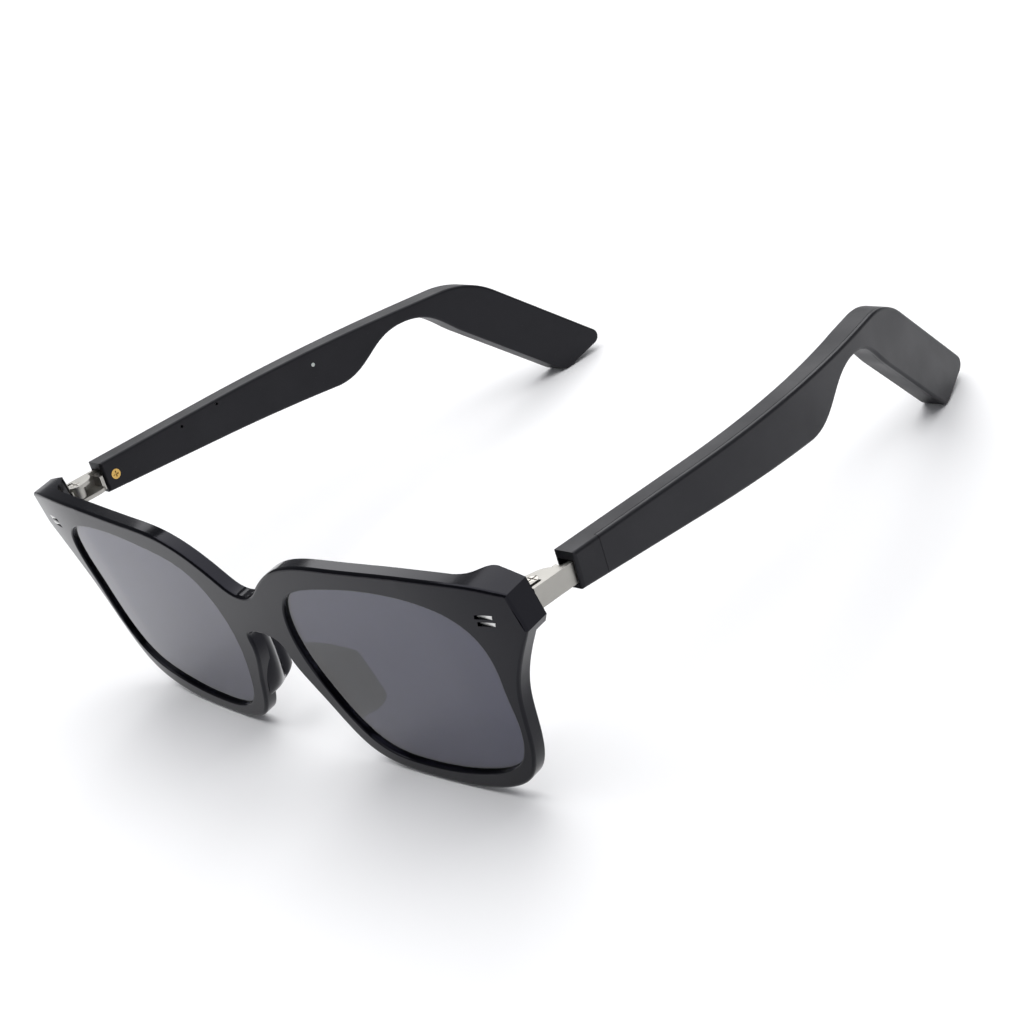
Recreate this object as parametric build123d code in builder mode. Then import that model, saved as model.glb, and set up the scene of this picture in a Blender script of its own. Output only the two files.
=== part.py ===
from build123d import *
import os
from math import asin, cos, degrees, radians, sin, sqrt, tan

os.makedirs("parts", exist_ok=True)

# Smart glasses with a squarish full-rim front and thick temples that hold the electronics.
# +Z is up and the lenses face -Y. The glasses stand on the lower rims and the two ear tips,
# and the origin is on that surface, under the middle of the whole. The wearer's left is +X.
# Lengths are in millimetres and angles in degrees.

# Overall sizes; the length follows from the pivot's place, the bend and the tip
frame_width = 146.8          # across the upper corners of the end pieces

# Lenses and rims; heights are above or below the middle of the lenses
lens_width = 52.6
lens_height = 41.0
lens_thickness = 1.6
lens_recess = 0.8            # depth of the lens behind the front face
lens_bevel = 0.7             # how far the lens edge reaches into its groove
groove_clearance = 0.04
bridge_width = 21.6          # between the two lens openings
rim_top = 4.5
rim_side = 3.2
rim_bottom = 2.9
bridge_top = 12.8
bridge_bottom = 4.0
front_thickness = 2.8
front_tilt = 2.7             # the top of the front leans ahead of its foot
front_lead = 0.83            # how far the leaning top edge stands ahead of the middle
front_radius = 735.0         # base curve of the middle of the front
wrap_depth = 5.2             # how far the corners lie behind the bridge
front_round = 0.6
opening_round = 0.3

# End pieces
endpiece_depth = 5.0
endpiece_bottom = 13.8
endpiece_flare = 0.8
endpiece_foot = 15.5         # height of the widest corner
block_width = 5.6
block_ramp = 8.5

# Nose wings
wing_reach = 10.0            # rear edge of the wings behind the front face
wing_root_length = 19.0
wing_tip_length = 12.0
wing_root_width = 3.4
wing_tip_width = 1.8

# Decorative corner bars
bar_length = 3.6
bar_height = 0.8
bar_pitch = 1.45
bar_slant = 25.0
bar_depth = 0.9
bar_proud = 0.1
bar_inset = 6.6              # from the upper corner in to the middle of the bars
bar_rise = 17.6

# Hinges; the pivot axis leans back with the drooping temples
hinge_height = 3.9
flange_thickness = 0.8
hinge_gap = 0.06             # play above and below the knuckle
hinge_wall = 0.8
hinge_offset = 2.9           # from the pivot out to the outer face of the bracket
hinge_setback = 2.45         # from the end piece back to the pivot
stop_gap = 0.12              # between the bracket and the end piece when open
pivot_rise = 17.9
lobe_radius = 2.0
lobe_slot = 0.7              # between the upper lobe and the outer wall
knuckle_radius = 1.7
pivot_diameter = 1.2
pivot_clearance = 0.04
pivot_head_diameter = 2.1
pivot_head_height = 0.4
leaf_plate_thickness = 1.2
leaf_plate_size = 4.6
leaf_web_width = 1.8
pocket_clearance = 0.05
tang_length = 5.2
tang_height = 2.6
tang_thickness = 1.5
wall_overlap = 1.2           # how far the bracket's outer wall enters the temple
lock_setback = 2.05          # from the lock screw to the end of the tang
lock_diameter = 1.2
lock_head_diameter = 2.2
lock_head_height = 0.5
driver_slot = 0.32

# Temples, in their own drooping frame: run back from the pivot, rise above it
temple_droop = 6.85
temple_start = 6.5           # front end of the temple behind the pivot
temple_top = 3.75
temple_front_bottom = 3.0
blade_depth = 7.1            # lowest point of the blade below the pivot
blade_end = 69.0             # where the blade is deepest
neck_position = 88.5
neck_bottom = 0.4
bend_position = 98.8         # where the top edge starts to turn down
bend_radius = 19.4
tip_angle = 42.0
tip_width = 11.6
tip_slant = 62.0             # between the end face and the tip's run
tip_low_round = 2.6
tip_high_round = 2.0
temple_thickness = 4.9
tip_thickness = 5.9
temple_outset = 3.9          # outer face of the temple outside the pivot
curve_start = 38.0           # where the temple starts to curve inwards
curve_end = 93.0
curve_angle = 15.1
temple_round = 0.6

# Covers and what they close in; an inset is measured inwards from the outer face
cover_thickness = 1.0
cover_start = 12.5
seam_gap = 0.1
temple_wall = 0.9
cavity_start = 17.0
cavity_end = 72.0
inner_gap = 0.25
board_length = 14.0
board_height = 5.0
board_thickness = 0.8
board_inset = 2.2
chip_height = 0.7
post_diameter = 1.6
battery_length = 22.0
battery_height = 6.0
battery_thickness = 2.0
speaker_length = 7.6
speaker_height = 6.3
speaker_thickness = 2.2
slot_length = 1.8
slot_width = 0.8
slot_pitch = 2.6
slot_count = 3
slot_middle = 63.0
mesh_thickness = 0.2
mesh_width = 2.2
sensor_thickness = 0.1
sensor_start = 20.0
sensor_end = 60.0
sensor_height = 3.6

# Button, status light and sound inlets of the right temple
button_position = 13.6
button_length = 3.0
button_width = 1.5
button_rim = 0.2             # how far the hidden flange stands out all round
button_flange = 0.3
button_proud = 0.45
button_travel = 0.25
button_clearance = 0.06
switch_height = 0.6
light_position = 64.8
light_rise = -0.37
light_diameter = 0.9
inlet_positions = (28.1, 38.2)
inlet_diameter = 0.7
inlet_rise = 2.35            # above the lower edge
microphone_length = 2.4
microphone_height = 1.6

# Frames that the pieces are drawn in
half_width = frame_width / 2
lens_centre = (bridge_width + lens_width) / 2
half_lens_width = lens_width / 2
half_lens_height = lens_height / 2
tilt_sin = sin(radians(front_tilt))
tilt_cos = cos(radians(front_tilt))
droop_sin = sin(radians(temple_droop))
droop_cos = cos(radians(temple_droop))
back_depth = wrap_depth + endpiece_depth
front_z = (half_lens_height + rim_bottom) * tilt_cos
pivot_x = half_width - hinge_offset
pivot_z = front_z + back_depth * tilt_sin + pivot_rise * tilt_cos
pivot_lag = back_depth * tilt_cos - pivot_rise * tilt_sin + hinge_setback

# The tip's lower corner rests on the table, which settles how far the tip runs.
run_cos = cos(radians(tip_angle))
run_sin = sin(radians(tip_angle))
bend_end = (bend_position + bend_radius * run_sin, temple_top - bend_radius * (1 - run_cos))
under_start = (bend_end[0] - tip_width * run_sin, bend_end[1] - tip_width * run_cos)


def slide(spot, along, up=0.0):
    """A spot of the side view moved along the tip's run and square to it."""
    return (spot[0] + along * run_cos + up * run_sin, spot[1] - along * run_sin + up * run_cos)


end_lean = 1 / tan(radians(tip_slant))
end_slope = sqrt(1 + end_lean**2)
low_start = slide(under_start, 0, tip_low_round)
low_height = pivot_z - low_start[0] * droop_sin + low_start[1] * droop_cos
low_run = (low_height - tip_low_round) / sin(radians(tip_angle + temple_droop))
end_run = low_run + tip_low_round * (end_slope - end_lean)
low_corner = slide(under_start, end_run)
high_corner = slide(under_start, end_run + tip_width * end_lean, tip_width)
high_run = end_run + (tip_width - tip_high_round) * end_lean - tip_high_round * end_slope
high_middle = slide(under_start, high_run, tip_width - tip_high_round)
rear_reach = high_middle[0] * droop_cos + high_middle[1] * droop_sin + tip_high_round
overall_length = front_lead + pivot_lag + rear_reach

front_y = front_lead - overall_length / 2
pivot_y = front_y + pivot_lag
front_plane = Plane(origin=(0, front_y, front_z), x_dir=(1, 0, 0), z_dir=(0, -tilt_cos, -tilt_sin))
plan_plane = Plane(origin=(0, front_y, front_z), x_dir=(1, 0, 0), z_dir=(0, -tilt_sin, tilt_cos))
pivot = (pivot_x, pivot_y, pivot_z)
side_plane = Plane(origin=pivot, x_dir=(0, droop_cos, -droop_sin), z_dir=(1, 0, 0))
hinge_plane = Plane(origin=pivot, x_dir=(0, droop_cos, -droop_sin), z_dir=(0, droop_sin, droop_cos))


def export_node(shape, name):
    shape.label = name
    export_step(shape, f"parts/{name}.step")


def export_pair(shape, name):
    export_node(mirror(shape, about=Plane.YZ), f"right_{name}")
    export_node(shape, f"left_{name}")


# ---------- front ----------

arc_end = lens_centre + lens_width / 4
arc_depth = front_radius - sqrt(front_radius**2 - arc_end**2)
side_reach = half_width + 2 * endpiece_flare
side_slope = (wrap_depth - arc_depth) / (half_width - arc_end)
side_depth = wrap_depth + (side_reach - half_width) * side_slope * 1.4


def front_band(depth_in, depth_out):
    """Plan of a curved sheet between two depths behind the front face."""
    with BuildSketch(plan_plane) as band:
        with BuildLine():
            near = ThreePointArc((-arc_end, arc_depth + depth_in), (0, depth_in), (arc_end, arc_depth + depth_in))
            TangentArc(near @ 1, (side_reach, side_depth + depth_in), tangent=near % 1)
            TangentArc(near @ 0, (-side_reach, side_depth + depth_in), tangent=-(near % 0))
            far = ThreePointArc((-arc_end, arc_depth + depth_out), (0, depth_out), (arc_end, arc_depth + depth_out))
            TangentArc(far @ 1, (side_reach, side_depth + depth_out), tangent=far % 1)
            TangentArc(far @ 0, (-side_reach, side_depth + depth_out), tangent=-(far % 0))
            Line((side_reach, side_depth + depth_in), (side_reach, side_depth + depth_out))
            Line((-side_reach, side_depth + depth_in), (-side_reach, side_depth + depth_out))
        make_face()
    return band.sketch


def lens_outline(grow):
    """Closed outline of the left lens opening, made larger all round by grow."""
    wide = half_lens_width + grow
    high = half_lens_height + grow
    shares = [
        (1.00, 0.22), (0.86, 0.82), (0.32, 1.00), (-0.40, 0.93), (-0.86, 0.70), (-1.00, 0.27),
        (-0.90, -0.40), (-0.62, -0.90), (-0.22, -1.00), (0.45, -0.91), (0.84, -0.66), (0.97, -0.20),
    ]
    with BuildSketch(front_plane) as outline:
        with BuildLine():
            Spline([(lens_centre + wide * across, high * up) for across, up in shares], periodic=True)
        make_face()
    return outline.sketch


def rim_point(across, up):
    """A point of the outer rim, as shares of the rim's half width and half height."""
    wide = half_lens_width + rim_side
    high = half_lens_height + rim_bottom
    return (lens_centre + across * wide, up * high)


with BuildSketch(front_plane) as front_outline:
    with BuildLine():
        top_edge = Spline(
            (0, bridge_top),
            (0.30 * bridge_width, bridge_top + 3.0),
            (0.60 * bridge_width, bridge_top + 7.4),
            (lens_centre - 0.67 * half_lens_width, half_lens_height + 0.50 * rim_top),
            (lens_centre - 0.16 * half_lens_width, half_lens_height + 0.82 * rim_top),
            (lens_centre + 0.56 * half_lens_width, half_lens_height + rim_top),
            (half_width - 7.4, half_lens_height + 0.87 * rim_top),
            (half_width, half_lens_height + 0.53 * rim_top),
            tangents=((1, 0), (1, -0.24)),
        )
        end_edge = Line(top_edge @ 1, (half_width + endpiece_flare, endpiece_foot))
        Spline(
            end_edge @ 1,
            (half_width - 3.4, 9.2),
            rim_point(0.985, 0.064),
            rim_point(0.876, -0.47),
            rim_point(0.745, -0.765),
            rim_point(0.46, -0.935),
            rim_point(-0.19, -1.0),
            rim_point(-0.688, -0.855),
            rim_point(-0.919, -0.41),
            (0.26 * bridge_width, -0.2),
            (0, bridge_bottom),
            tangents=((-0.7, -1), (-1, 0)),
        )
        Line((0, bridge_bottom), (0, bridge_top))
    make_face()
    mirror(about=Plane.YZ)

front_reach = 60.0


def faces_forward(face):
    return face.normal_at().Y < -0.5


def at_front(edge):
    """True for an edge on the front face, false for one on the rear of the rims."""
    middle = front_plane.to_local_coords(edge @ 0.5)
    sag = front_radius - sqrt(front_radius**2 - min(abs(middle.X), arc_end)**2)
    return -middle.Z < sag + front_thickness / 2 + max(0, abs(middle.X) - arc_end) * side_slope


def lens_blank(grow, play):
    """A lens-shaped slice that follows the base curve, larger all round by grow and play."""
    with BuildPart() as blank:
        extrude(front_band(lens_recess - play, lens_recess + lens_thickness + play), amount=front_reach, both=True)
        extrude(lens_outline(grow + play), amount=front_reach, both=True, mode=Mode.INTERSECT)
    return blank.part


with BuildPart() as lens:
    add(lens_blank(lens_bevel, 0))

with BuildPart() as lens_groove:
    add(lens_blank(lens_bevel, groove_clearance))

# Two slanted bars let into the front face at each corner.
bar_x = half_width - bar_inset
bar_face = wrap_depth - bar_inset * side_slope


def bar_shapes(play):
    with BuildSketch(front_plane.offset(bar_proud - bar_face)) as shapes:
        for step in (-0.5, 0.5):
            middle = bar_rise + step * bar_pitch
            lean = bar_height * tan(radians(bar_slant)) / 2
            wide = bar_length / 2 + play
            high = bar_height / 2 + play
            with BuildLine():
                Polyline(
                    (bar_x - wide + lean, middle + high),
                    (bar_x + wide + lean, middle + high),
                    (bar_x + wide - lean, middle - high),
                    (bar_x - wide - lean, middle - high),
                    close=True,
                )
            make_face()
    return shapes.sketch


with BuildPart() as corner_bars:
    extrude(bar_shapes(0), amount=-(bar_depth + bar_proud))

with BuildPart() as bar_pockets:
    extrude(bar_shapes(groove_clearance), amount=-(bar_depth + bar_proud + groove_clearance))
    extrude(bar_shapes(groove_clearance), amount=front_thickness)

# Hinge leaf of the front: a plate let into the rear of the end piece, a web and a knuckle.
knuckle_height = hinge_height - 2 * flange_thickness - 2 * hinge_gap
web_reach = hinge_setback + leaf_plate_thickness / 2


def leaf_plate(play):
    with BuildPart() as plate:
        with BuildSketch(front_plane.offset(-back_depth)):
            with Locations((pivot_x, pivot_rise)):
                RectangleRounded(leaf_plate_size + 2 * play, leaf_plate_size + 2 * play, 0.8 + play)
        extrude(amount=leaf_plate_thickness + play)
    return plate.part


with BuildPart() as front_hinge:
    add(leaf_plate(0))
    with BuildSketch(hinge_plane.offset(-knuckle_height / 2)):
        Circle(knuckle_radius)
        with Locations((-web_reach / 2, 0)):
            Rectangle(web_reach, leaf_web_width)
    extrude(amount=knuckle_height)
    with BuildSketch(hinge_plane.offset(-hinge_height)):
        Circle(pivot_diameter / 2 + pivot_clearance)
    extrude(amount=2 * hinge_height, mode=Mode.SUBTRACT)

# Nose wing: an oval that leaves the nasal rim and narrows towards its rear edge.
with BuildPart() as left_wing:
    wing_sections = [
        (front_thickness / 2, 10.9, -7.0, wing_root_length, wing_root_width, 20.0),
        (wing_reach * 0.62, 12.3, -8.0, (wing_root_length + wing_tip_length) / 2 + 1, 2.8, 17.0),
        (wing_reach - 0.7, 14.2, -9.4, wing_tip_length, wing_tip_width, 12.0),
        (wing_reach, 14.3, -9.5, wing_tip_length - 1.4, 0.5 * wing_tip_width, 12.0),
    ]
    for depth, across, up, length, width, lean in wing_sections:
        with BuildSketch(front_plane.offset(-depth)):
            with Locations(Location((across, up, 0), (0, 0, lean))):
                Ellipse(width / 2, length / 2)
    loft()

with BuildPart() as front_frame:
    extrude(front_band(0, front_thickness), amount=front_reach, both=True)
    with BuildSketch(plan_plane.offset(endpiece_bottom)):
        with BuildLine():
            inner_end = half_width - block_width
            Polyline(
                (inner_end - block_ramp, wrap_depth),
                (half_width + endpiece_flare + 1, wrap_depth + front_thickness / 2),
                (half_width + endpiece_flare + 1, back_depth),
                (inner_end, back_depth),
            )
            Spline(
                (inner_end, back_depth),
                (inner_end - 0.4 * block_ramp, wrap_depth + 0.4 * endpiece_depth),
                (inner_end - block_ramp, wrap_depth),
                tangents=((-1, -0.1), (-1, -0.25)),
            )
        make_face()
        mirror(about=Plane.YZ)
    extrude(amount=front_reach)
    extrude(front_outline.sketch, amount=front_reach, both=True, mode=Mode.INTERSECT)
    front_edges = front_frame.faces().filter_by(GeomType.CYLINDER).filter_by(faces_forward).edges()
    fillet(front_edges.filter_by(GeomType.LINE, reverse=True), radius=front_round)
    for opening in (lens_outline(0), mirror(lens_outline(0), about=Plane.YZ)):
        extrude(opening, amount=front_reach, both=True, mode=Mode.SUBTRACT)
        opening_edges = front_frame.edges(Select.LAST).filter_by(GeomType.BSPLINE).filter_by(at_front)
        fillet(opening_edges, radius=opening_round)
    add(left_wing.part)
    mirror(left_wing.part, about=Plane.YZ)
    for side_cut in (lens_groove.part, bar_pockets.part, leaf_plate(pocket_clearance)):
        add(side_cut, mode=Mode.SUBTRACT)
        mirror(side_cut, about=Plane.YZ, mode=Mode.SUBTRACT)

# ---------- temples ----------

# Side view of a temple, in runs back from the pivot and heights above it.
lower_slope = (blade_depth - temple_front_bottom) / (blade_end - temple_start)

with BuildSketch(side_plane) as temple_side:
    with BuildLine():
        top_line = Line((temple_start, temple_top), (bend_position, temple_top))
        bend = TangentArc(top_line @ 1, bend_end, tangent=(1, 0))
        Polyline(bend_end, high_corner, low_corner, slide(under_start, -3.5))
        Spline(slide(under_start, -3.5), (neck_position, neck_bottom), tangents=((-run_cos, run_sin), (-1, 0)))
        Spline(
            (neck_position, neck_bottom),
            ((neck_position + blade_end) / 2, (neck_bottom - blade_depth) / 2),
            (blade_end, -blade_depth),
            tangents=((-1, 0), (-1, 0)),
        )
        Polyline((blade_end, -blade_depth), (temple_start, -temple_front_bottom), (temple_start, temple_top))
    make_face()
    fillet(temple_side.vertices().sort_by(Axis.X)[-1], radius=tip_high_round)
    fillet(temple_side.vertices().sort_by(Axis.Y)[0], radius=tip_low_round)


def temple_band(inset_out, inset_in_front, inset_in_tip):
    """Plan of the temple between two insets from its outer face."""
    run_on = 90.0
    turn_cos = cos(radians(curve_angle))
    turn_sin = sin(radians(curve_angle))
    fall = (curve_end - curve_start) * tan(radians(curve_angle / 2))
    outer = -temple_outset + inset_out
    inner = -temple_outset + inset_in_front
    knee = (curve_end - inset_out * turn_sin, -temple_outset + fall + inset_out * turn_cos)
    inner_knee = (curve_end - inset_in_tip * turn_sin, -temple_outset + fall + inset_in_tip * turn_cos)
    with BuildSketch(hinge_plane) as band:
        with BuildLine():
            straight = Line((-1, outer), (curve_start, outer))
            TangentArc(straight @ 1, knee, tangent=(1, 0))
            Line(knee, (knee[0] + run_on * turn_cos, knee[1] + run_on * turn_sin))
            inner_straight = Line((-1, inner), (curve_start, inner))
            TangentArc(inner_straight @ 1, inner_knee, tangent=(1, 0))
            Line(inner_knee, (inner_knee[0] + run_on * turn_cos, inner_knee[1] + run_on * turn_sin))
            Line((-1, outer), (-1, inner))
            Line(
                (knee[0] + run_on * turn_cos, knee[1] + run_on * turn_sin),
                (inner_knee[0] + run_on * turn_cos, inner_knee[1] + run_on * turn_sin),
            )
        make_face()
    return band.sketch


temple_reach = 60.0
with BuildPart() as temple_blank:
    extrude(temple_band(0, temple_thickness, tip_thickness), amount=temple_reach, both=True)
    extrude(temple_side.sketch, amount=temple_reach, both=True, mode=Mode.INTERSECT)
    long_edges = temple_blank.edges().filter_by(lambda edge: edge.length > tip_thickness + 0.5)
    fillet(long_edges, radius=temple_round)


def lower_edge(run):
    """Height of the blade's lower edge at a run back from the pivot."""
    return -temple_front_bottom - (run - temple_start) * lower_slope


def plan_spot(run, inset):
    """Where a piece stands in plan, turned with the temple's inward curve."""
    curve_radius = (curve_end - curve_start) / sin(radians(curve_angle))
    turn = asin(max(0, run - curve_start) / curve_radius)
    outer = -temple_outset + curve_radius * (1 - cos(turn))
    return Location((run - inset * sin(turn), outer + inset * cos(turn), 0), (0, 0, degrees(turn)))


def inner_block(run, inset, low, length, height, thickness):
    """A box inside a temple; run is its middle, inset its outer side and low its underside."""
    with BuildPart() as box:
        with BuildSketch(hinge_plane.offset(low)):
            with Locations(plan_spot(run, inset + thickness / 2)):
                Rectangle(length, thickness)
        extrude(amount=height)
    return box.part


def side_hole(run, rise, diameter, inset_from, inset_to):
    """A round bar square to the temple's sides between two insets."""
    start = hinge_plane * plan_spot(run, inset_from)
    axis_plane = Plane(origin=start.position, x_dir=start.x_axis.direction, z_dir=start.y_axis.direction)
    with BuildPart() as bar:
        with BuildSketch(axis_plane):
            with Locations((0, rise)):
                Circle(diameter / 2)
        extrude(amount=inset_to - inset_from)
    return bar.part


def behind(run):
    """Everything behind a run, to cut a temple's pieces to length."""
    with BuildPart() as rear:
        with BuildSketch(side_plane):
            with Locations((run, 0)):
                Rectangle(3 * temple_reach, 3 * temple_reach, align=(Align.MIN, Align.CENTER))
        extrude(amount=temple_reach, both=True)
    return rear.part


with BuildPart() as cover_space:
    cover_depth = cover_thickness + seam_gap
    extrude(temple_band(-1, cover_depth, cover_depth), amount=temple_reach, both=True)
    add(behind(cover_start), mode=Mode.INTERSECT)

with BuildPart() as temple_cover:
    add(temple_blank.part)
    cover_band = temple_band(-1, cover_thickness, cover_thickness)
    extrude(cover_band, amount=temple_reach, both=True, mode=Mode.INTERSECT)
    add(behind(cover_start + seam_gap), mode=Mode.INTERSECT)

# The hollow for the electronics, closed by the cover.
wall_inset = temple_thickness - temple_wall
cavity_roof = temple_top - temple_wall
floor_end = blade_end - 2
tail_floor = -blade_depth + temple_wall + 0.36 * (blade_depth - neck_bottom) * (cavity_end - floor_end) / 9


def cavity_floor(run):
    return lower_edge(run) + temple_wall


with BuildPart() as cavity:
    extrude(temple_band(cover_thickness / 2, wall_inset, wall_inset), amount=temple_reach, both=True)
    with BuildSketch(side_plane) as cavity_side:
        with BuildLine():
            Polyline(
                (cavity_start, cavity_roof),
                (cavity_start, cavity_floor(cavity_start)),
                (floor_end, cavity_floor(floor_end)),
                (cavity_end, tail_floor),
                (cavity_end, cavity_roof),
                close=True,
            )
        make_face()
    extrude(cavity_side.sketch, amount=temple_reach, both=True, mode=Mode.INTERSECT)

# Bracket: a shallow box open to the front and the inside, round the knuckle, with a tang
# that the lock screw holds in the temple.
box_rear = temple_start - 0.35
tang_outer = hinge_offset - hinge_wall
lock_run = box_rear + tang_length - lock_setback
inner_face = temple_thickness - temple_outset
opened_front = front_plane.offset(-(back_depth + stop_gap))


def tang(play):
    with BuildPart() as bar:
        with BuildSketch(hinge_plane.offset(-tang_height / 2 - play)):
            with Locations((box_rear - hinge_wall / 2, -tang_outer - play)):
                reach = tang_length + hinge_wall / 2 + play
                Rectangle(reach, tang_thickness + 2 * play, align=(Align.MIN, Align.MIN))
        extrude(amount=tang_height + 2 * play)
    return bar.part


with BuildPart() as hinge_bracket:
    with BuildSketch(hinge_plane.offset(-hinge_height / 2)):
        with Locations((-hinge_setback, -hinge_offset)):
            wall_length = hinge_setback + temple_start + wall_overlap
            Rectangle(wall_length, hinge_wall, align=(Align.MIN, Align.MIN))
    extrude(amount=hinge_height)
    with BuildSketch(hinge_plane.offset(-hinge_height / 2)):
        with Locations((box_rear - hinge_wall, -hinge_offset)):
            Rectangle(hinge_wall, hinge_offset + inner_face, align=(Align.MIN, Align.MIN))
    extrude(amount=hinge_height - flange_thickness)
    with BuildSketch(hinge_plane.offset(hinge_height / 2 - flange_thickness)):
        Circle(lobe_radius)
        with BuildLine():
            Line((0, lobe_radius), (0, -hinge_offset))
            Line((0, -hinge_offset), (0.75 * box_rear, -hinge_offset))
            Spline((0.75 * box_rear, -hinge_offset), (0.42 * box_rear, 1.2), (0, lobe_radius), tangents=((0, 1), (-1, 0.2)))
        make_face()
        with Locations((-hinge_setback, -lobe_radius)):
            Rectangle(hinge_setback + 0.3, lobe_slot, align=(Align.MIN, Align.MIN), mode=Mode.SUBTRACT)
    extrude(amount=flange_thickness)
    with BuildSketch(hinge_plane.offset(-hinge_height / 2)):
        Circle(lobe_radius)
        with BuildLine():
            Line((0, lobe_radius), (0, -hinge_offset))
            Line((0, -hinge_offset), (box_rear, -hinge_offset))
            Line((box_rear, -hinge_offset), (box_rear, 0.5 * inner_face))
            Line((0.6 * box_rear, lobe_radius), (0, lobe_radius))
            TangentArc((0.6 * box_rear, lobe_radius), (box_rear, 0.5 * inner_face), tangent=(1, 0))
        make_face()
    extrude(amount=flange_thickness)
    add(tang(0))
    with BuildSketch(hinge_plane.offset(-hinge_height)):
        Circle(pivot_diameter / 2)
    extrude(amount=2 * hinge_height, mode=Mode.SUBTRACT)
    with BuildSketch(hinge_plane.offset(hinge_height / 2 - pivot_head_height)):
        Circle(pivot_head_diameter / 2 + pivot_clearance)
    extrude(amount=hinge_height, mode=Mode.SUBTRACT)
    with BuildSketch(side_plane):
        with Locations((lock_run, 0)):
            Circle(lock_diameter / 2)
    extrude(amount=temple_reach, both=True, mode=Mode.SUBTRACT)
    split(bisect_by=opened_front, keep=Keep.BOTTOM)

with BuildPart() as hinge_screw:
    with BuildSketch(hinge_plane.offset(-hinge_height / 2)):
        Circle(pivot_diameter / 2)
    extrude(amount=hinge_height)
    with BuildSketch(hinge_plane.offset(hinge_height / 2 - pivot_head_height)):
        Circle(pivot_head_diameter / 2)
    extrude(amount=pivot_head_height)
    with BuildSketch(hinge_plane.offset(hinge_height / 2 - pivot_head_height / 2)):
        Rectangle(pivot_head_diameter, driver_slot)
        Rectangle(driver_slot, pivot_head_diameter)
    extrude(amount=pivot_head_height, mode=Mode.SUBTRACT)


def lock_bar(diameter, reach, play):
    """A round bar from the temple's inner face towards its outer face."""
    with BuildPart() as bar:
        with BuildSketch(side_plane.offset(-inner_face)):
            with Locations((lock_run, 0)):
                Circle(diameter / 2 + play)
        extrude(amount=reach + play)
    return bar.part


with BuildPart() as lock_screw:
    add(lock_bar(lock_head_diameter, lock_head_height, 0))
    add(lock_bar(lock_diameter, inner_face + tang_outer, 0))
    with BuildSketch(side_plane.offset(-inner_face)):
        with Locations((lock_run, 0)):
            Rectangle(0.6 * lock_head_diameter, driver_slot)
            Rectangle(driver_slot, 0.6 * lock_head_diameter)
    extrude(amount=lock_head_height / 2, mode=Mode.SUBTRACT)

# Room in the housing for the end of the bracket's wall, its tang and the lock screw.
with BuildPart() as bracket_room:
    with BuildSketch(hinge_plane.offset(-hinge_height / 2 - inner_gap)):
        with Locations((0, -hinge_offset - inner_gap)):
            pocket_length = temple_start + wall_overlap + inner_gap
            Rectangle(pocket_length, hinge_offset + 2 * inner_gap, align=(Align.MIN, Align.MIN))
    extrude(amount=hinge_height + 2 * inner_gap)
    add(tang(pocket_clearance))
    add(lock_bar(lock_head_diameter, lock_head_height, pocket_clearance))
    add(lock_bar(lock_diameter, inner_face + tang_outer, pocket_clearance))

# Electronics
board_run = cavity_start + inner_gap + board_length / 2
board_low = cavity_roof - inner_gap - board_height
board_back = board_inset + board_thickness
with BuildPart() as circuit_board:
    add(inner_block(board_run, board_inset, board_low, board_length, board_height, board_thickness))
    for share, chip_length, chip_width in ((-0.3, 3.6, 3.0), (0.02, 2.6, 2.6), (0.3, 3.0, 1.6)):
        chip_run = board_run + share * board_length
        chip_low = board_low + (board_height - chip_width) / 2
        add(inner_block(chip_run, board_inset - chip_height, chip_low, chip_length, chip_width, chip_height))

with BuildPart() as board_posts:
    for post_run in (board_run - 0.4 * board_length, board_run + 0.15 * board_length):
        add(side_hole(post_run, board_low + board_height / 2, post_diameter, board_back, wall_inset))

battery_start = board_run + board_length / 2 + 1.0
battery_run = battery_start + battery_length / 2
battery_low = cavity_floor(battery_start) + inner_gap
with BuildPart() as battery:
    battery_inset = wall_inset - battery_thickness - 0.1
    add(inner_block(battery_run, battery_inset, battery_low, battery_length, battery_height, battery_thickness))
    fillet(battery.edges().filter_by(Axis(origin=(0, 0, 0), direction=hinge_plane.z_dir)), radius=0.5)

with BuildPart() as speaker:
    speaker_run = cavity_end - inner_gap - 0.7 - speaker_length / 2
    speaker_low = cavity_roof - inner_gap - 0.9 - speaker_height
    speaker_inset = wall_inset - speaker_thickness - 0.1
    add(inner_block(speaker_run, speaker_inset, speaker_low, speaker_length, speaker_height, speaker_thickness))

mesh_length = (slot_count - 1) * slot_pitch + slot_length + 0.8
mesh_inset = (temple_thickness - mesh_width) / 2
with BuildPart() as speaker_mesh:
    extrude(temple_band(mesh_inset, mesh_inset + mesh_width, mesh_inset + mesh_width), amount=temple_reach, both=True)
    with BuildSketch(side_plane) as mesh_side:
        with BuildLine():
            mesh_start = slot_middle - mesh_length / 2
            mesh_end = slot_middle + mesh_length / 2
            Polyline(
                (mesh_start, cavity_floor(mesh_start)),
                (mesh_end, cavity_floor(mesh_end)),
                (mesh_end, cavity_floor(mesh_end) + mesh_thickness),
                (mesh_start, cavity_floor(mesh_start) + mesh_thickness),
                close=True,
            )
        make_face()
    extrude(mesh_side.sketch, amount=temple_reach, both=True, mode=Mode.INTERSECT)

with BuildPart() as touch_sensor:
    sensor_back = cover_thickness + sensor_thickness
    extrude(temple_band(cover_thickness, sensor_back, sensor_back), amount=temple_reach, both=True)
    with BuildSketch(side_plane) as sensor_side:
        with Locations(((sensor_start + sensor_end) / 2, 0)):
            Rectangle(sensor_end - sensor_start, sensor_height)
    extrude(sensor_side.sketch, amount=temple_reach, both=True, mode=Mode.INTERSECT)

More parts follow.
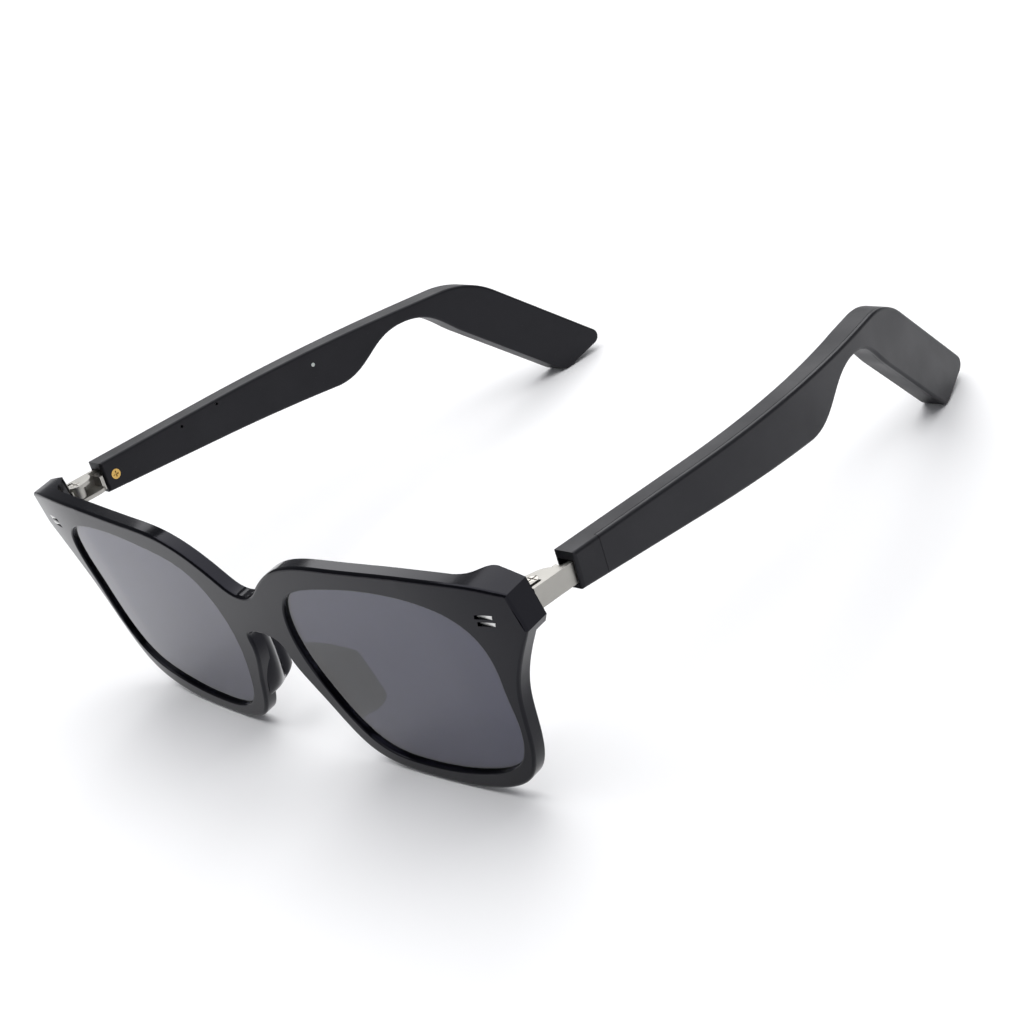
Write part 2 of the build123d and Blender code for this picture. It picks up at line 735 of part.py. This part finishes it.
# Controls, drawn for the left side and mirrored to the right temple, which carries them.
button_edge = lower_edge(button_position)
button_seat = button_edge + temple_wall
switch_low = button_seat + button_clearance + button_flange + button_travel + button_clearance
button_inset = (temple_thickness - button_width) / 2
flange_length = button_length + 2 * button_rim
flange_width = button_width + 2 * button_rim


def button_bar(low, height, grow):
    """The outline of the button as a bar, larger all round by grow."""
    with BuildPart() as bar:
        with BuildSketch(hinge_plane.offset(low)):
            with Locations(plan_spot(button_position, temple_thickness / 2)):
                round_end = button_width / 2 - 0.05 + grow
                RectangleRounded(button_length + 2 * grow, button_width + 2 * grow, round_end)
        extrude(amount=height)
    return bar.part


with BuildPart() as power_button:
    cap_height = button_proud + temple_wall + button_clearance
    add(button_bar(button_edge - button_proud, cap_height, 0))
    fillet(power_button.edges().group_by(Axis(origin=pivot, direction=hinge_plane.z_dir))[0], radius=0.2)
    add(button_bar(button_seat + button_clearance, button_flange, button_rim))

with BuildPart() as button_switch:
    switch_inset = button_inset - button_rim
    add(inner_block(button_position, switch_inset, switch_low, button_length, switch_height, flange_width))

with BuildPart() as button_room:
    add(button_bar(button_edge - 1, 1 + temple_wall + 0.01, button_clearance))
    room_height = switch_low + switch_height - button_seat
    room_start = button_position - flange_length / 2 - 0.15
    room_length = cavity_start + 0.1 - room_start
    room_run = room_start + room_length / 2
    add(inner_block(room_run, switch_inset - 0.15, button_seat, room_length, room_height, flange_width + 0.3))

with BuildPart() as status_light:
    add(temple_blank.part)
    light = side_hole(light_position, light_rise, light_diameter, wall_inset - 0.05, tip_thickness + 1)
    add(light, mode=Mode.INTERSECT)

microphone_run = inlet_positions[0]
microphone_rise = lower_edge(microphone_run) + inlet_rise
with BuildPart() as microphone:
    microphone_low = microphone_rise - microphone_height / 2
    microphone_depth = wall_inset - board_back
    add(inner_block(
        microphone_run, board_back, microphone_low, microphone_length, microphone_height, microphone_depth,
    ))


def temple_housing(controls):
    """The inner shell of a temple, with or without the openings of the controls."""
    with BuildPart() as housing:
        add(temple_blank.part)
        for space in (cover_space.part, cavity.part, bracket_room.part):
            add(space, mode=Mode.SUBTRACT)
        with BuildSketch(hinge_plane.offset(-blade_depth - 1)):
            for step in range(slot_count):
                slot_run = slot_middle + (step - (slot_count - 1) / 2) * slot_pitch
                with Locations(plan_spot(slot_run, temple_thickness / 2)):
                    SlotOverall(slot_length, slot_width)
        extrude(amount=2 * temple_wall + 1, mode=Mode.SUBTRACT)
        add(board_posts.part)
        if controls:
            add(button_room.part, mode=Mode.SUBTRACT)
            add(light, mode=Mode.SUBTRACT)
            for inlet_run in inlet_positions:
                height = lower_edge(inlet_run) + inlet_rise
                inlet = side_hole(inlet_run, height, inlet_diameter, wall_inset - 0.1, tip_thickness + 1)
                add(inlet, mode=Mode.SUBTRACT)
    return housing.part


# ---------- parts ----------

export_node(front_frame.part, "front_frame")
export_pair(lens.part, "lens")
export_pair(corner_bars.part, "corner_bars")
export_pair(front_hinge.part, "front_hinge")
export_pair(hinge_bracket.part, "hinge_bracket")
export_pair(hinge_screw.part, "hinge_screw")
export_pair(lock_screw.part, "lock_screw")
export_node(temple_housing(False), "left_temple_housing")
export_node(mirror(temple_housing(True), about=Plane.YZ), "right_temple_housing")
export_pair(temple_cover.part, "temple_cover")
export_pair(touch_sensor.part, "touch_sensor")
export_pair(circuit_board.part, "circuit_board")
export_pair(battery.part, "battery")
export_pair(speaker.part, "speaker")
export_pair(speaker_mesh.part, "speaker_mesh")
export_node(mirror(power_button.part, about=Plane.YZ), "power_button")
export_node(mirror(button_switch.part, about=Plane.YZ), "button_switch")
export_node(mirror(status_light.part, about=Plane.YZ), "status_light")
export_node(mirror(microphone.part, about=Plane.YZ), "microphone")
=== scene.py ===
import math
import bpy
from mathutils import Matrix, Vector


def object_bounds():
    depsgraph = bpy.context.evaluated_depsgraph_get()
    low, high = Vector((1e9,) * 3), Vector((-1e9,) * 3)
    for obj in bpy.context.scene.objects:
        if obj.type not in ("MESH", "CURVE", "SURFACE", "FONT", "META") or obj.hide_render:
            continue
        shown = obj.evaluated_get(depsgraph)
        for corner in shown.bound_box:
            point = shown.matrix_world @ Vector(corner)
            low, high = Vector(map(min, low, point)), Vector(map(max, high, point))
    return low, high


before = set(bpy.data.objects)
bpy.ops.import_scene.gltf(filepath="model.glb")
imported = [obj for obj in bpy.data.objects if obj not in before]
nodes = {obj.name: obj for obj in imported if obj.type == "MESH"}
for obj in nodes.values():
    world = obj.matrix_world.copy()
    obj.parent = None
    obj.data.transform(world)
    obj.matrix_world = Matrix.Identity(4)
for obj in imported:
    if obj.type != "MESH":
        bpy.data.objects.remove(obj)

# Folding smart glasses in gloss and satin black, with tinted lenses and nickel hinges.
# Metres throughout; +Z up, the lenses face -Y, the wearer's left is +X.

cadBox = [list(corner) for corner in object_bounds()]
lowCorner, highCorner = (Vector(corner) for corner in cadBox)
print("frame loaded:", len(nodes), "nodes")


def deselectAll():
    bpy.ops.object.select_all(action="DESELECT")


colorA, colorB, colorOut = 6, 7, 2      # colour sockets of a Mix node set to RGBA


def newGroup(name, inputs, outputs):
    group = bpy.data.node_groups.new(name, "ShaderNodeTree")
    for socketName, socketType in inputs:
        group.interface.new_socket(socketName, in_out="INPUT", socket_type=socketType)
    for socketName, socketType in outputs:
        group.interface.new_socket(socketName, in_out="OUTPUT", socket_type=socketType)
    start = group.nodes.new("NodeGroupInput")
    end = group.nodes.new("NodeGroupOutput")
    return group, start, end


def addNode(tree, kind, **settings):
    node = tree.nodes.new(kind)
    for key, value in settings.items():
        setattr(node, key, value)
    return node


grainLook = dict(
    fineDetail=3.0, broadScale=90.0, broadDetail=4.0,
    broadLow=0.3, broadHigh=0.7,        # span of the broad noise, from low to high roughness
    bumpReach=0.00004,
)


def makeGrainGroup(look):
    # fine moulded or polished skin: a bump, and a roughness that drifts between two values
    group, start, end = newGroup(
        "surfaceGrain",
        [("Scale", "NodeSocketFloat"), ("Depth", "NodeSocketFloat"),
         ("Rough Low", "NodeSocketFloat"), ("Rough High", "NodeSocketFloat"),
         ("Stretch", "NodeSocketVector")],
        [("Roughness", "NodeSocketFloat"), ("Normal", "NodeSocketVector")],
    )
    coords = addNode(group, "ShaderNodeTexCoord")
    mapping = addNode(group, "ShaderNodeVectorMath", operation="MULTIPLY")
    fine = addNode(group, "ShaderNodeTexNoise")
    fine.inputs["Detail"].default_value = look["fineDetail"]
    broad = addNode(group, "ShaderNodeTexNoise")
    broad.inputs["Scale"].default_value = look["broadScale"]
    broad.inputs["Detail"].default_value = look["broadDetail"]
    spread = addNode(group, "ShaderNodeMapRange")
    spread.inputs["From Min"].default_value = look["broadLow"]
    spread.inputs["From Max"].default_value = look["broadHigh"]
    bump = addNode(group, "ShaderNodeBump")
    bump.inputs["Distance"].default_value = look["bumpReach"]
    link = group.links.new
    link(coords.outputs["Object"], mapping.inputs[0])
    link(start.outputs["Stretch"], mapping.inputs[1])
    link(mapping.outputs["Vector"], fine.inputs["Vector"])
    link(start.outputs["Scale"], fine.inputs["Scale"])
    link(mapping.outputs["Vector"], broad.inputs["Vector"])
    link(broad.outputs["Fac"], spread.inputs["Value"])
    link(start.outputs["Rough Low"], spread.inputs["To Min"])
    link(start.outputs["Rough High"], spread.inputs["To Max"])
    link(fine.outputs["Fac"], bump.inputs["Height"])
    link(start.outputs["Depth"], bump.inputs["Strength"])
    link(spread.outputs["Result"], end.inputs["Roughness"])
    link(bump.outputs["Normal"], end.inputs["Normal"])
    return group


toneLook = dict(cloudDetail=5.0, dotScale=420.0, dotEdge=0.09, dotCore=0.03)


def makeToneGroup(look):
    # a base colour that drifts a little, with sparse specks of a third colour
    group, start, end = newGroup(
        "toneDrift",
        [("Dark", "NodeSocketColor"), ("Light", "NodeSocketColor"), ("Speck", "NodeSocketColor"),
         ("Speck Amount", "NodeSocketFloat"), ("Scale", "NodeSocketFloat")],
        [("Color", "NodeSocketColor")],
    )
    coords = addNode(group, "ShaderNodeTexCoord")
    clouds = addNode(group, "ShaderNodeTexNoise")
    clouds.inputs["Detail"].default_value = look["cloudDetail"]
    cells = addNode(group, "ShaderNodeTexVoronoi")
    cells.inputs["Scale"].default_value = look["dotScale"]
    dots = addNode(group, "ShaderNodeMapRange")
    dots.inputs["From Min"].default_value = look["dotEdge"]
    dots.inputs["From Max"].default_value = look["dotCore"]
    amount = addNode(group, "ShaderNodeMath", operation="MULTIPLY")
    tone = addNode(group, "ShaderNodeMix", data_type="RGBA")
    final = addNode(group, "ShaderNodeMix", data_type="RGBA")
    link = group.links.new
    link(coords.outputs["Object"], clouds.inputs["Vector"])
    link(start.outputs["Scale"], clouds.inputs["Scale"])
    link(coords.outputs["Object"], cells.inputs["Vector"])
    link(cells.outputs["Distance"], dots.inputs["Value"])
    link(dots.outputs["Result"], amount.inputs[0])
    link(start.outputs["Speck Amount"], amount.inputs[1])
    link(clouds.outputs["Fac"], tone.inputs["Factor"])
    link(start.outputs["Dark"], tone.inputs[colorA])
    link(start.outputs["Light"], tone.inputs[colorB])
    link(amount.outputs["Value"], final.inputs["Factor"])
    link(tone.outputs[colorOut], final.inputs[colorA])
    link(start.outputs["Speck"], final.inputs[colorB])
    link(final.outputs[colorOut], end.inputs["Color"])
    return group


grainGroup = makeGrainGroup(grainLook)
toneGroup = makeToneGroup(toneLook)
print("shader groups made")


def makeGrainMaterial(name, finish):
    # the surface alone: what gives the colour is linked by the caller
    material = bpy.data.materials.new(name)
    material.use_nodes = True
    tree = material.node_tree
    shader = tree.nodes["Principled BSDF"]
    grain = addNode(tree, "ShaderNodeGroup", node_tree=grainGroup)
    grain.inputs["Scale"].default_value = finish["grain"]
    grain.inputs["Depth"].default_value = finish["depth"]
    grain.inputs["Rough Low"].default_value = finish["rough"][0]
    grain.inputs["Rough High"].default_value = finish["rough"][1]
    grain.inputs["Stretch"].default_value = finish.get("stretch", (1, 1, 1))
    tree.links.new(grain.outputs["Roughness"], shader.inputs["Roughness"])
    tree.links.new(grain.outputs["Normal"], shader.inputs["Normal"])
    for socketName, value in finish.get("shader", {}).items():
        shader.inputs[socketName].default_value = value
    return material, tree, shader


usualDrift = 120.0      # scale of the colour clouds where a finish names none


def makeMaterial(name, finish):
    material, tree, shader = makeGrainMaterial(name, finish)
    tone = addNode(tree, "ShaderNodeGroup", node_tree=toneGroup)
    tone.inputs["Dark"].default_value = (*finish["dark"], 1)
    tone.inputs["Light"].default_value = (*finish["light"], 1)
    tone.inputs["Speck"].default_value = (*finish.get("speck", finish["light"]), 1)
    tone.inputs["Speck Amount"].default_value = finish.get("specks", 0.0)
    tone.inputs["Scale"].default_value = finish.get("drift", usualDrift)
    tree.links.new(tone.outputs["Color"], shader.inputs["Base Color"])
    return material


finishes = {
    "frameGloss": dict(
        dark=(0.0009, 0.0009, 0.0014), light=(0.002, 0.002, 0.003), speck=(0.02, 0.02, 0.022), specks=0.15,
        grain=700, depth=0.05, rough=(0.1, 0.17),
        shader={"Coat Weight": 0.06, "Coat Roughness": 0.04, "Specular IOR Level": 0.17,
                "Specular Tint": (0.8, 0.8, 1.0, 1)},
    ),
    "templeSatin": dict(
        dark=(0.0045, 0.0045, 0.0052), light=(0.008, 0.008, 0.0092), speck=(0.03, 0.03, 0.032), specks=0.25,
        grain=5200, depth=0.45, rough=(0.4, 0.52),
        shader={"Specular IOR Level": 0.3, "Specular Tint": (0.9, 0.9, 1.0, 1)},
    ),
    "coverSatin": dict(
        dark=(0.005, 0.005, 0.0058), light=(0.009, 0.009, 0.0102), speck=(0.035, 0.035, 0.038), specks=0.25,
        grain=5200, depth=0.4, rough=(0.34, 0.45),
        shader={"Specular IOR Level": 0.3, "Specular Tint": (0.9, 0.9, 1.0, 1)},
    ),
    "hingeNickel": dict(
        dark=(0.3, 0.29, 0.27), light=(0.46, 0.45, 0.42), grain=2600, depth=0.5, rough=(0.3, 0.46),
        stretch=(1.0, 0.06, 1.0), shader={"Metallic": 1.0},
    ),
    "cornerMetal": dict(
        dark=(0.72, 0.72, 0.7), light=(0.92, 0.92, 0.9), grain=2400, depth=0.3, rough=(0.3, 0.45),
        stretch=(0.08, 1.0, 1.0), shader={"Metallic": 0.7},
    ),
    "screwSteel": dict(
        dark=(0.4, 0.38, 0.35), light=(0.6, 0.58, 0.54), grain=3800, depth=0.4, rough=(0.22, 0.36),
        shader={"Metallic": 1.0},
    ),
    "brass": dict(
        dark=(0.42, 0.25, 0.06), light=(0.7, 0.46, 0.15), grain=3800, depth=0.35, rough=(0.2, 0.34),
        shader={"Metallic": 1.0},
    ),
    "sensorFilm": dict(
        dark=(0.24, 0.09, 0.015), light=(0.42, 0.19, 0.04), grain=900, depth=0.2, rough=(0.25, 0.4),
        speck=(0.7, 0.45, 0.18), specks=0.5,
    ),
    "solderMask": dict(
        dark=(0.004, 0.04, 0.016), light=(0.012, 0.09, 0.035), grain=2500, depth=0.3, rough=(0.2, 0.4),
        speck=(0.6, 0.56, 0.4), specks=0.9, drift=700.0,
    ),
    "cellFoil": dict(
        dark=(0.42, 0.43, 0.45), light=(0.62, 0.63, 0.66), grain=420, depth=0.8, rough=(0.22, 0.42),
        shader={"Metallic": 0.9},
    ),
    "speakerShell": dict(
        dark=(0.012, 0.012, 0.013), light=(0.03, 0.03, 0.033), grain=4200, depth=0.6, rough=(0.5, 0.7),
    ),
    "meshSteel": dict(
        dark=(0.06, 0.06, 0.06), light=(0.35, 0.35, 0.34), grain=9000, depth=1.0, rough=(0.35, 0.55),
        drift=9000.0, shader={"Metallic": 1.0},
    ),
    "buttonSatin": dict(
        dark=(0.01, 0.01, 0.011), light=(0.018, 0.018, 0.02), grain=4600, depth=0.4, rough=(0.3, 0.42),
        speck=(0.05, 0.05, 0.05), specks=0.2,
    ),
    "switchShell": dict(
        dark=(0.03, 0.03, 0.03), light=(0.07, 0.07, 0.07), grain=3000, depth=0.4, rough=(0.4, 0.6),
    ),
    "lightGuide": dict(
        dark=(0.45, 0.45, 0.44), light=(0.7, 0.7, 0.68), grain=2600, depth=0.2, rough=(0.15, 0.3),
        shader={"Subsurface Weight": 0.2, "Subsurface Scale": 0.0005},
    ),
    "goldCan": dict(
        dark=(0.6, 0.52, 0.32), light=(0.8, 0.73, 0.52), grain=3200, depth=0.3, rough=(0.2, 0.32),
        shader={"Metallic": 1.0},
    ),
}
materials = {name: makeMaterial(name, finish) for name, finish in finishes.items()}

lensLook = dict(
    tintTop=(0.036, 0.036, 0.062), tintFoot=(0.033, 0.033, 0.056),
    grain=260, depth=0.008, rough=(0.012, 0.05),
    shader={"Transmission Weight": 1.0, "IOR": 1.5, "Coat Weight": 0.1, "Coat Roughness": 0.02},
)


def makeLensMaterial(look):
    # grey-blue tint, a little darker towards the foot, with faint wiping marks in the gloss
    material, tree, shader = makeGrainMaterial("tintedLens", look)
    coords = addNode(tree, "ShaderNodeTexCoord")
    split = addNode(tree, "ShaderNodeSeparateXYZ")
    ramp = addNode(tree, "ShaderNodeMapRange")
    blend = addNode(tree, "ShaderNodeMix", data_type="RGBA")
    ramp.inputs["From Min"].default_value = lowCorner.z
    ramp.inputs["From Max"].default_value = highCorner.z
    blend.inputs[colorA].default_value = (*look["tintFoot"], 1)
    blend.inputs[colorB].default_value = (*look["tintTop"], 1)
    link = tree.links.new
    link(coords.outputs["Object"], split.inputs["Vector"])
    link(split.outputs["Z"], ramp.inputs["Value"])
    link(ramp.outputs["Result"], blend.inputs["Factor"])
    link(blend.outputs[colorOut], shader.inputs["Base Color"])
    return material


materials["tintedLens"] = makeLensMaterial(lensLook)

finishOf = {
    "front_frame": "frameGloss", "lens": "tintedLens", "corner_bars": "cornerMetal",
    "front_hinge": "hingeNickel", "hinge_bracket": "hingeNickel",
    "hinge_screw": "screwSteel", "lock_screw": "brass",
    "temple_housing": "templeSatin", "temple_cover": "coverSatin", "touch_sensor": "sensorFilm",
    "circuit_board": "solderMask", "battery": "cellFoil",
    "speaker": "speakerShell", "speaker_mesh": "meshSteel",
    "power_button": "buttonSatin", "button_switch": "switchShell",
    "status_light": "lightGuide", "microphone": "goldCan",
}


def paint(obj, finishName):
    obj.data.materials.clear()
    obj.data.materials.append(materials[finishName])


for nodeName, obj in nodes.items():
    kind = nodeName.removeprefix("left_").removeprefix("right_")
    paint(obj, finishOf[kind])
print("materials set")


studio = dict(
    floorSize=6.0, floorGap=0.00005, floorTone=(0.96, 0.96, 0.965), floorRough=0.7, floorShine=0.1,
    sky=(0.9, 0.92, 1.0), skyStrength=0.2,
)


def makeFloor(look):
    deselectAll()
    floorHeight = lowCorner.z - look["floorGap"]
    bpy.ops.mesh.primitive_plane_add(size=look["floorSize"], location=(0, 0, floorHeight))
    floor = bpy.context.object
    floor.name = "floor"
    material = bpy.data.materials.new("paleFloor")
    material.use_nodes = True
    shader = material.node_tree.nodes["Principled BSDF"]
    shader.inputs["Base Color"].default_value = (*look["floorTone"], 1)
    shader.inputs["Roughness"].default_value = look["floorRough"]
    shader.inputs["Specular IOR Level"].default_value = look["floorShine"]
    floor.data.materials.append(material)


def makeSky(look):
    world = bpy.data.worlds.new("studio")
    bpy.context.scene.world = world
    world.use_nodes = True
    background = world.node_tree.nodes["Background"]
    background.inputs["Color"].default_value = (*look["sky"], 1)
    background.inputs["Strength"].default_value = look["skyStrength"]


softBoxes = {
    "topBox": dict(place=(0.0, 0.1, 1.1), aim=(0, 0, 0.02), size=(1.6, 1.4), power=17.0),
    "rearBox": dict(place=(-0.9, 0.9, 0.7), aim=(0, 0, 0.02), size=(1.1, 0.7), power=6.0),
    "frontBox": dict(place=(0.8, -0.8, 0.5), aim=(0, 0, 0.02), size=(0.6, 0.4), power=1.2),
}


def makeSoftBox(name, look):
    light = bpy.data.lights.new(name, "AREA")
    light.shape = "RECTANGLE"
    light.size, light.size_y = look["size"]
    light.energy = look["power"]
    box = bpy.data.objects.new(name, light)
    bpy.context.scene.collection.objects.link(box)
    box.location = look["place"]
    towards = Vector(look["aim"]) - Vector(look["place"])
    box.rotation_euler = towards.to_track_quat("-Z", "Y").to_euler()


cameraLook = dict(
    turn=55.05, lift=26.885, roll=-23.136, place=(0.30532, -0.2213, 0.20084),      # degrees, metres
    lens=71.9, sensor=36.0,             # millimetres
    nearest=0.01,
)


def makeCamera(look):
    turn, lift, roll = (math.radians(look[key]) for key in ("turn", "lift", "roll"))
    back = Vector((math.sin(turn) * math.cos(lift), -math.cos(turn) * math.cos(lift), math.sin(lift)))
    right = Vector((math.cos(turn), math.sin(turn), 0))
    up = back.cross(right)
    rolledRight = math.cos(roll) * right + math.sin(roll) * up
    rolledUp = math.cos(roll) * up - math.sin(roll) * right
    data = bpy.data.cameras.new("camera")
    data.sensor_width = look["sensor"]
    data.lens = look["lens"]
    data.clip_start = look["nearest"]
    camera = bpy.data.objects.new("camera", data)
    bpy.context.scene.collection.objects.link(camera)
    turned = Matrix((rolledRight, rolledUp, back)).transposed().to_4x4()
    camera.matrix_world = Matrix.Translation(look["place"]) @ turned
    bpy.context.scene.camera = camera


makeFloor(studio)
makeSky(studio)
for boxName, look in softBoxes.items():
    makeSoftBox(boxName, look)
makeCamera(cameraLook)
bpy.context.scene.view_settings.view_transform = "Standard"
print("floor, light and camera set")
